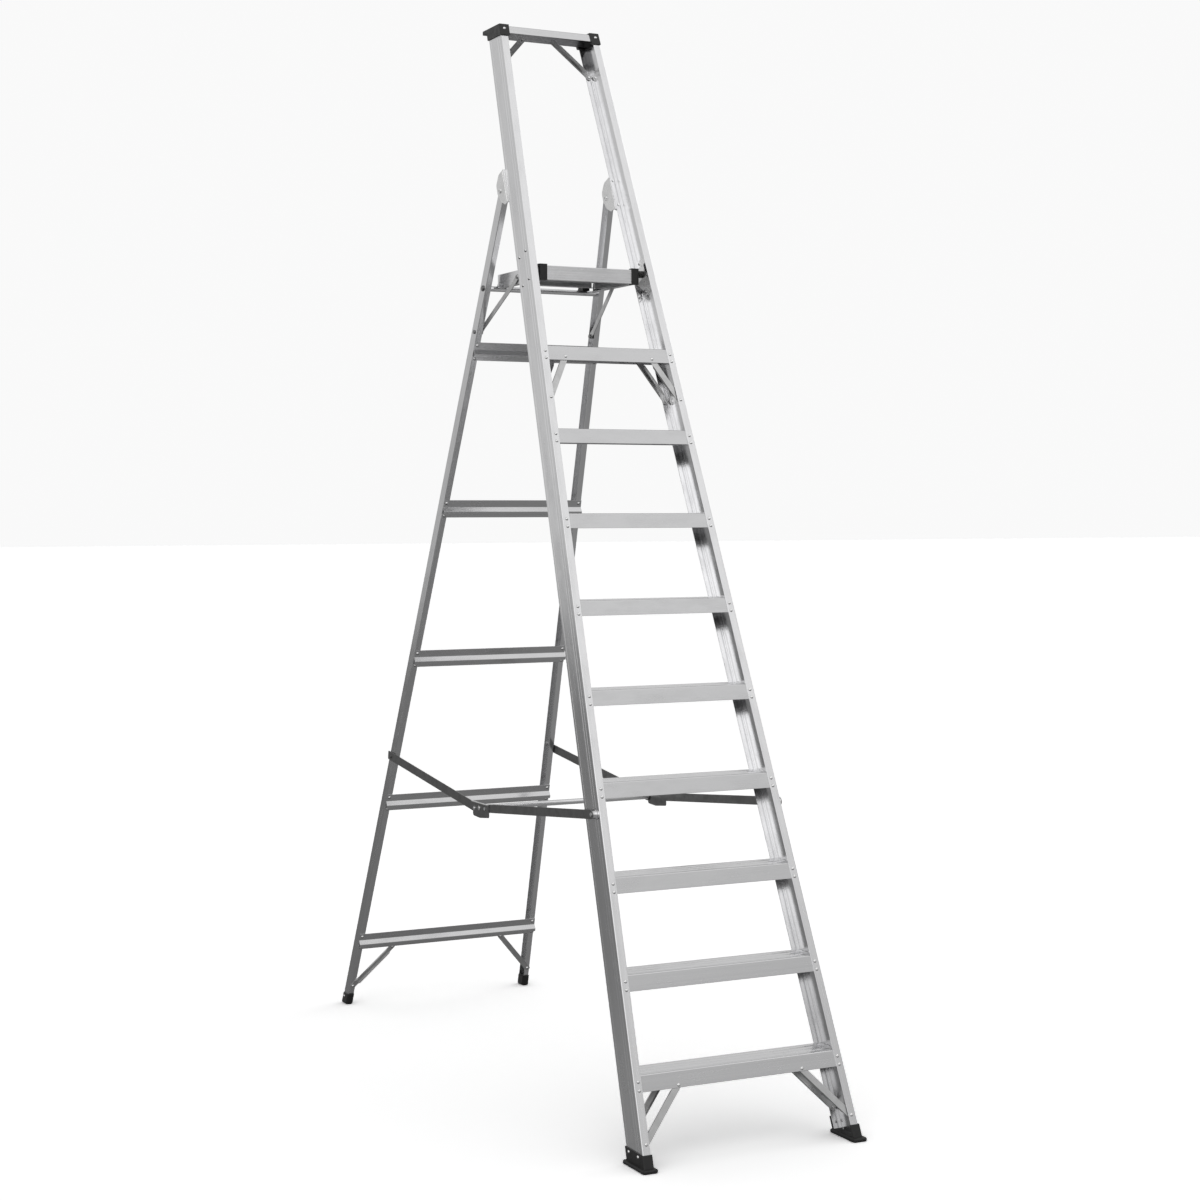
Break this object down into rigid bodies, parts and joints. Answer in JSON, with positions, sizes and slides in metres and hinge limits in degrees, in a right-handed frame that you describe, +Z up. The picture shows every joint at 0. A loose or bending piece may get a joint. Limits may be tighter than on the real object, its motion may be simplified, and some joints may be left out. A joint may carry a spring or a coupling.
{
  "type": "platform stepladder",
  "caption": "Tall four-legged aluminium platform stepladder with flared stiles, a guardrail bar, a folding railed rear frame and hinged spreader arms.",
  "frame": {"origin": "on the floor, at the centre of the ladder's outline with the ladder standing open", "axes": "+X to the climber's right, +Y from the treads towards the rear frame, +Z up"},
  "size_m": [0.8286, 2.6705, 3.79],
  "materials": {
    "mill_aluminium": "mill finish with fine lines along the extrusion",
    "zinc_plated_steel": "dull zinc plate, pressed",
    "rivet_alloy": "bright domed heads",
    "black_plastic": "fine moulded texture",
    "black_rubber": "matte, moulded"
  },
  "bodies": {
    "front_frame": {"front_frame_rivets": "rivet_alloy", "front_shoe_left": "black_rubber", "front_shoe_right": "black_rubber", "guardrail_bar": "mill_aluminium", "guardrail_braces": "zinc_plated_steel", "guardrail_cap_left": "black_plastic", "guardrail_cap_right": "black_plastic", "pivot_bracket_left": "zinc_plated_steel", "pivot_bracket_right": "zinc_plated_steel", "platform_bracket_left": "zinc_plated_steel", "platform_bracket_right": "zinc_plated_steel", "platform_pivot_pins": "zinc_plated_steel", "spreader_front_pins": "zinc_plated_steel", "stile_left": "mill_aluminium", "stile_right": "mill_aluminium", "top_pivot_pins": "zinc_plated_steel", "tread_1": "mill_aluminium", "tread_1_braces": "zinc_plated_steel", "tread_2": "mill_aluminium", "tread_3": "mill_aluminium", "tread_4": "mill_aluminium", "tread_5": "mill_aluminium", "tread_6": "mill_aluminium", "tread_7": "mill_aluminium", "tread_8": "mill_aluminium", "tread_9": "mill_aluminium", "tread_9_braces": "zinc_plated_steel"},
    "platform": {"platform_bushes": "black_plastic", "platform_corner_caps": "black_plastic", "platform_deck": "mill_aluminium", "platform_fascia": "mill_aluminium", "platform_rear_bar": "mill_aluminium", "platform_side_left": "mill_aluminium", "platform_side_right": "mill_aluminium", "platform_standoffs": "mill_aluminium", "tube_catches": "black_plastic"},
    "rear_frame": {"catch_tube": "mill_aluminium", "rear_braces": "zinc_plated_steel", "rear_foot_left": "black_plastic", "rear_foot_right": "black_plastic", "rear_frame_rivets": "rivet_alloy", "rear_rail_1": "mill_aluminium", "rear_rail_2": "mill_aluminium", "rear_rail_3": "mill_aluminium", "rear_rail_4": "mill_aluminium", "rear_rail_5": "mill_aluminium", "rear_stile_left": "mill_aluminium", "rear_stile_right": "mill_aluminium", "spreader_rear_studs": "zinc_plated_steel", "stay_foot_pins": "zinc_plated_steel", "tube_end_plugs": "rivet_alloy"},
    "stays": {"stay_left": "zinc_plated_steel", "stay_right": "zinc_plated_steel", "stay_top_rivets": "rivet_alloy"},
    "spreader_front": {"spreader_front_arm_left": "zinc_plated_steel", "spreader_front_arm_right": "zinc_plated_steel", "spreader_hinge_plates": "zinc_plated_steel", "spreader_rod": "zinc_plated_steel"},
    "spreader_rear": {"spreader_rear_arm_left": "zinc_plated_steel", "spreader_rear_arm_right": "zinc_plated_steel"}
  },
  "joints": [
    {"name": "rear_fold", "type": "hinge", "parent": "front_frame", "child": "rear_frame", "pos_m": [0, 0.10894, 3.176], "axis": [-1, 0, 0], "range_deg": [0, 38]},
    {"name": "platform_fold", "type": "hinge", "parent": "front_frame", "child": "platform", "pos_m": [0, -0.1403, 2.872], "axis": [1, 0, 0], "range_deg": [0, 48.14]},
    {"name": "stay_swing", "type": "hinge", "parent": "rear_frame", "child": "stays", "pos_m": [0, 0.29653, 2.682], "axis": [-1, 0, 0], "range_deg": [0, 23.28]},
    {"name": "spreader_front_swing", "type": "hinge", "parent": "front_frame", "child": "spreader_front", "pos_m": [0, -0.87582, 1.045], "axis": [1, 0, 0], "range_deg": [0, 62.19]},
    {"name": "spreader_rear_swing", "type": "hinge", "parent": "spreader_front", "child": "spreader_rear", "pos_m": [0, 0.06771, 0.95304], "axis": [-1, 0, 0], "range_deg": [0, 173.23]}
  ],
  "couplings": [
    {"joint": "platform_fold", "follows": "rear_fold", "ratio": 1.2666},
    {"joint": "stay_swing", "follows": "rear_fold", "ratio": 0.61247},
    {"joint": "spreader_front_swing", "follows": "rear_fold", "ratio": 1.6365},
    {"joint": "spreader_rear_swing", "follows": "rear_fold", "ratio": 4.5584}
  ]
}
